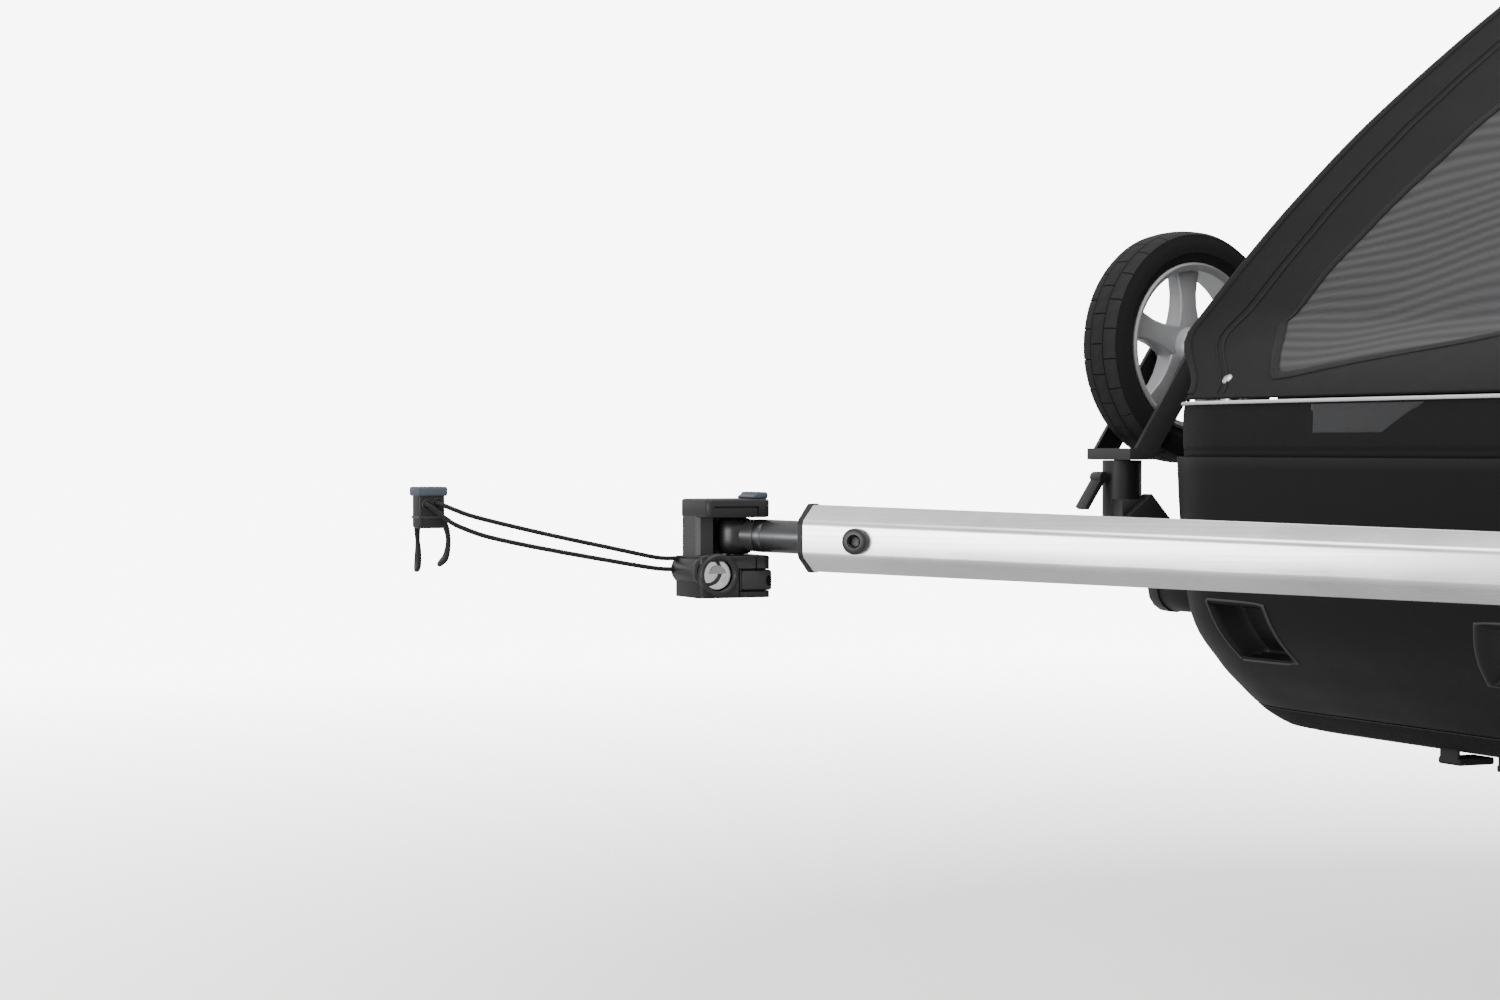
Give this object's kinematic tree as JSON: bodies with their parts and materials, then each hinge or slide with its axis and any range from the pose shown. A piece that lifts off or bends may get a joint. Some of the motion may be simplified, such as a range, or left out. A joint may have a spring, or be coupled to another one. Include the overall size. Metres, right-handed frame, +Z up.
{
  "type": "bike trailer",
  "caption": "Two-seat child bike trailer: moulded tub, folding fabric canopy, quick-release wheels, stowed stroller wheels, bent tow arm and swivelling axle hitch with tether.",
  "frame": {"origin": "on the ground, under the middle of the trailer with its tow arm", "axes": "+X to the rear of the trailer, +Y to its right side, +Z up"},
  "size_m": [1.545, 0.8164, 0.9363],
  "materials": {
    "tub_plastic": "fine-grained moulding",
    "black_plastic": "satin",
    "dark_fabric": "coated woven",
    "mesh_fabric": "open mesh",
    "seat_fabric": "padded woven",
    "reflective": "reflective piping",
    "aluminium": "satin anodised",
    "dark_metal": "satin",
    "chrome": "polished",
    "tyre_rubber": "moulded tread",
    "cord_rubber": "woven elastic sheath",
    "grip_foam": "foam",
    "blue_grey": "satin"
  },
  "bodies": {
    "chassis": {"tub": "tub_plastic", "skid_strip": "black_plastic", "front_skirt": "dark_fabric", "front_piping": "reflective", "badge_plate": "dark_fabric", "nose_bar": "dark_metal", "seat_bench": "seat_fabric", "axle_frame": "aluminium", "arm_receiver": "black_plastic", "side_panel_right": "dark_fabric", "side_panel_left": "dark_fabric", "rear_panel": "dark_fabric", "backrest_right": "seat_fabric", "backrest_left": "seat_fabric", "harness_right": "black_plastic", "harness_left": "black_plastic"},
    "canopy": {"canopy_frame": "aluminium", "front_cover": "dark_fabric", "front_mesh": "mesh_fabric", "roof_panel": "dark_fabric"},
    "uprights": {"upright_right": "aluminium", "upright_left": "aluminium"},
    "push_bar": {"handlebar": "aluminium", "handle_grip": "grip_foam"},
    "bar_button": {"handle_button": "blue_grey"},
    "brake_foot": {"brake_pedal": "black_plastic"},
    "arm": {"tow_arm": "aluminium", "arm_end_cap": "black_plastic", "arm_bolt": "dark_metal"},
    "arm_lock": {"arm_lock_pin": "black_plastic"},
    "swivel": {"swivel_rod": "dark_metal", "swivel_knuckle": "black_plastic"},
    "head": {"hitch_head": "black_plastic", "head_pin": "dark_metal"},
    "tether": {"tether_cord": "cord_rubber", "tether_block": "black_plastic"},
    "head_button": {"head_cap": "blue_grey"},
    "key_lock": {"head_lock": "chrome"},
    "latch": {"head_latch": "black_plastic"},
    "cord_button": {"tether_button": "blue_grey"},
    "wheel_right": {"wheel_right": "aluminium", "tyre_right": "tyre_rubber"},
    "release_right": {"wheel_button_right": "black_plastic"},
    "caster_arm_right": {"caster_arm_right": "black_plastic"},
    "caster_fork_right": {"caster_fork_right": "black_plastic"},
    "caster_wheel_right": {"caster_rim_right": "aluminium", "caster_tyre_right": "tyre_rubber"},
    "caster_lever_right": {"caster_lever_right": "black_plastic"},
    "brake_pin_right": {"brake_pin_right": "dark_metal"},
    "fold_lever_right": {"fold_lever_right": "blue_grey"},
    "wheel_left": {"wheel_left": "aluminium", "tyre_left": "tyre_rubber"},
    "release_left": {"wheel_button_left": "black_plastic"},
    "caster_arm_left": {"caster_arm_left": "black_plastic"},
    "caster_fork_left": {"caster_fork_left": "black_plastic"},
    "caster_wheel_left": {"caster_rim_left": "aluminium", "caster_tyre_left": "tyre_rubber"},
    "caster_lever_left": {"caster_lever_left": "black_plastic"},
    "brake_pin_left": {"brake_pin_left": "dark_metal"},
    "fold_lever_left": {"fold_lever_left": "blue_grey"}
  },
  "joints": [
    {"name": "frame_fold", "type": "hinge", "parent": "chassis", "child": "canopy", "pos_m": [-0.145, 0, 0.372], "axis": [0, 1, 0], "range_deg": [0, 33], "deforming": ["side_panel_right", "side_panel_left", "rear_panel", "backrest_right", "backrest_left", "harness_right", "harness_left"]},
    {"name": "upright_fold", "type": "hinge", "parent": "canopy", "child": "uprights", "pos_m": [0.47, 0, 0.87759], "axis": [0, 1, 0], "range_deg": [0, 65]},
    {"name": "handlebar_tilt", "type": "hinge", "parent": "canopy", "child": "push_bar", "pos_m": [0.54873, 0, 0.90381], "axis": [0, 1, 0], "range_deg": [-40, 60]},
    {"name": "handle_button_press", "type": "slide", "parent": "push_bar", "child": "bar_button", "axis": [1, 0, 0], "range_m": [0, 0.003], "stiffness_N_per_m": 600},
    {"name": "brake_pedal_press", "type": "hinge", "parent": "chassis", "child": "brake_foot", "pos_m": [0.617, 0, 0.205], "axis": [0, 1, 0], "range_deg": [0, 30]},
    {"name": "arm_slide", "type": "slide", "parent": "chassis", "child": "arm", "axis": [-1, 0, 0], "range_m": [0, 0.115]},
    {"name": "arm_lock_pull", "type": "slide", "parent": "chassis", "child": "arm_lock", "axis": [0, 0, 1], "range_m": [0, 0.006], "stiffness_N_per_m": 500},
    {"name": "arm_roll", "type": "hinge", "parent": "arm", "child": "swivel", "pos_m": [-0.6325, -0.1023, 0.3055], "axis": [0.6727, -0.7393, -0.0288], "range_deg": [-40, 40]},
    {"name": "head_yaw", "type": "hinge", "parent": "swivel", "child": "head", "pos_m": [-0.66331, -0.06844, 0.30682], "axis": [0, 0, 1], "range_deg": [-75, 70]},
    {"name": "head_cap_press", "type": "slide", "parent": "head", "child": "head_button", "axis": [0, 0, -1], "range_m": [0, 0.002], "stiffness_N_per_m": 300},
    {"name": "head_lock_turn", "type": "hinge", "parent": "head", "child": "key_lock", "pos_m": [-0.6804, -0.0839, 0.2865], "axis": [0, -1, 0], "range_deg": [0, 90]},
    {"name": "head_latch_press", "type": "slide", "parent": "head", "child": "latch", "axis": [0, 1, 0], "range_m": [0, 0.002], "stiffness_N_per_m": 300},
    {"name": "tether_swing", "type": "hinge", "parent": "head", "child": "tether", "pos_m": [-0.68821, -0.0564, 0.2957], "axis": [0, 1, 0], "range_deg": [0, 10]},
    {"name": "tether_button_lift", "type": "slide", "parent": "tether", "child": "cord_button", "axis": [0, 0, 1], "range_m": [0, 0.003], "stiffness_N_per_m": 200},
    {"name": "wheel_spin_right", "type": "hinge", "parent": "chassis", "child": "wheel_right", "pos_m": [0.4, 0.375, 0.25], "axis": [0, 1, 0], "continuous": true},
    {"name": "wheel_release_right", "type": "slide", "parent": "wheel_right", "child": "release_right", "axis": [0, -1, 0], "range_m": [0, 0.003], "stiffness_N_per_m": 400},
    {"name": "caster_stow_right", "type": "hinge", "parent": "chassis", "child": "caster_arm_right", "pos_m": [-0.165, 0.296, 0.2535], "axis": [0, 1, 0], "range_deg": [0, 180]},
    {"name": "caster_swivel_right", "type": "hinge", "parent": "caster_arm_right", "child": "caster_fork_right", "pos_m": [-0.19588, 0.31364, 0.3435], "axis": [0, 0, 1], "range_deg": [-13, 100]},
    {"name": "caster_spin_right", "type": "hinge", "parent": "caster_fork_right", "child": "caster_wheel_right", "pos_m": [-0.139, 0.325, 0.424], "axis": [-0.196, 0.9806, 0], "continuous": true},
    {"name": "caster_lock_right", "type": "hinge", "parent": "caster_arm_right", "child": "caster_lever_right", "pos_m": [-0.21438, 0.31364, 0.3315], "axis": [0, 1, 0], "range_deg": [0, 25]},
    {"name": "brake_bolt_right", "type": "slide", "parent": "chassis", "child": "brake_pin_right", "axis": [0, 1, 0], "range_m": [0, 0.0061]},
    {"name": "fold_release_right", "type": "hinge", "parent": "chassis", "child": "fold_lever_right", "pos_m": [0.556, 0.2833, 0.366], "axis": [0, -1, 0], "range_deg": [0, 60]},
    {"name": "wheel_spin_left", "type": "hinge", "parent": "chassis", "child": "wheel_left", "pos_m": [0.4, -0.375, 0.25], "axis": [0, 1, 0], "continuous": true},
    {"name": "wheel_release_left", "type": "slide", "parent": "wheel_left", "child": "release_left", "axis": [0, 1, 0], "range_m": [0, 0.003], "stiffness_N_per_m": 400},
    {"name": "caster_stow_left", "type": "hinge", "parent": "chassis", "child": "caster_arm_left", "pos_m": [-0.165, -0.296, 0.2535], "axis": [0, 1, 0], "range_deg": [0, 180]},
    {"name": "caster_swivel_left", "type": "hinge", "parent": "caster_arm_left", "child": "caster_fork_left", "pos_m": [-0.19588, -0.31364, 0.3435], "axis": [0, 0, 1], "range_deg": [-100, 13]},
    {"name": "caster_spin_left", "type": "hinge", "parent": "caster_fork_left", "child": "caster_wheel_left", "pos_m": [-0.139, -0.325, 0.424], "axis": [-0.196, -0.9806, 0], "continuous": true},
    {"name": "caster_lock_left", "type": "hinge", "parent": "caster_arm_left", "child": "caster_lever_left", "pos_m": [-0.21438, -0.31364, 0.3315], "axis": [0, 1, 0], "range_deg": [0, 25]},
    {"name": "brake_bolt_left", "type": "slide", "parent": "chassis", "child": "brake_pin_left", "axis": [0, -1, 0], "range_m": [0, 0.0061]},
    {"name": "fold_release_left", "type": "hinge", "parent": "chassis", "child": "fold_lever_left", "pos_m": [0.556, -0.2833, 0.366], "axis": [0, -1, 0], "range_deg": [0, 60]}
  ],
  "couplings": [
    {"joint": "upright_fold", "follows": "frame_fold", "ratio": 1.93},
    {"joint": "brake_bolt_right", "follows": "brake_pedal_press", "m_per_rad": 0.0116},
    {"joint": "brake_bolt_left", "follows": "brake_pedal_press", "m_per_rad": 0.0116}
  ]
}
